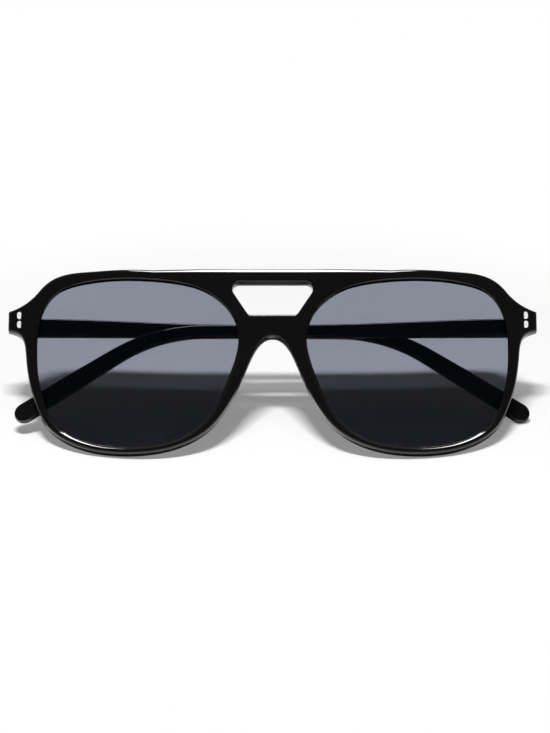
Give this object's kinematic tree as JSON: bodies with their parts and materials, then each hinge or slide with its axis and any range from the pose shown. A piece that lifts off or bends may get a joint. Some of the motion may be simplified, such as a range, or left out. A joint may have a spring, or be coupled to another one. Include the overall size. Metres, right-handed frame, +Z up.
{
  "type": "sunglasses",
  "caption": "Folded square aviator sunglasses: thick black front with a brow bar over a cut-out bridge, tinted lenses, riveted lugs and hinged temples.",
  "frame": {"origin": "centre of the footprint box on the table, with both lower rims and the right temple's tip touching z = 0", "axes": "+X from the wearer's right lug to the wearer's left lug, +Y back from the front towards the folded temples, +Z up; the front leans back as it rests"},
  "size_m": [0.145, 0.0418, 0.0425],
  "materials": {
    "acetate": "polished black cellulose acetate",
    "lens_glass": "dark grey blue tint, polished",
    "hinge_metal": "nickel silver, satin",
    "rivet_metal": "polished silver",
    "core_wire": "drawn wire, sealed in the temple",
    "screw_metal": "turned, slotted head"
  },
  "bodies": {
    "front": {"front": "acetate", "lens_left": "lens_glass", "lens_right": "lens_glass", "nose_pad_left": "acetate", "nose_pad_right": "acetate", "front_hinge_left": "hinge_metal", "front_hinge_right": "hinge_metal", "front_rivets_left": "rivet_metal", "front_rivets_right": "rivet_metal", "hinge_screw_left": "screw_metal", "hinge_screw_right": "screw_metal"},
    "left_temple": {"temple_left": "acetate", "temple_core_left": "core_wire", "temple_hinge_left": "hinge_metal", "temple_rivets_left": "rivet_metal"},
    "right_temple": {"temple_right": "acetate", "temple_core_right": "core_wire", "temple_hinge_right": "hinge_metal", "temple_rivets_right": "rivet_metal"}
  },
  "joints": [
    {"name": "left_temple_hinge", "type": "hinge", "parent": "front", "child": "left_temple", "pos_m": [0.0663, 0.0138, 0.02533], "axis": [0.0122, -0.661, -0.7503], "range_deg": [0, 96.28]},
    {"name": "right_temple_hinge", "type": "hinge", "parent": "front", "child": "right_temple", "pos_m": [-0.0663, 0.0138, 0.02533], "axis": [-0.0087, 0.661, 0.7503], "range_deg": [0, 92.51]}
  ]
}
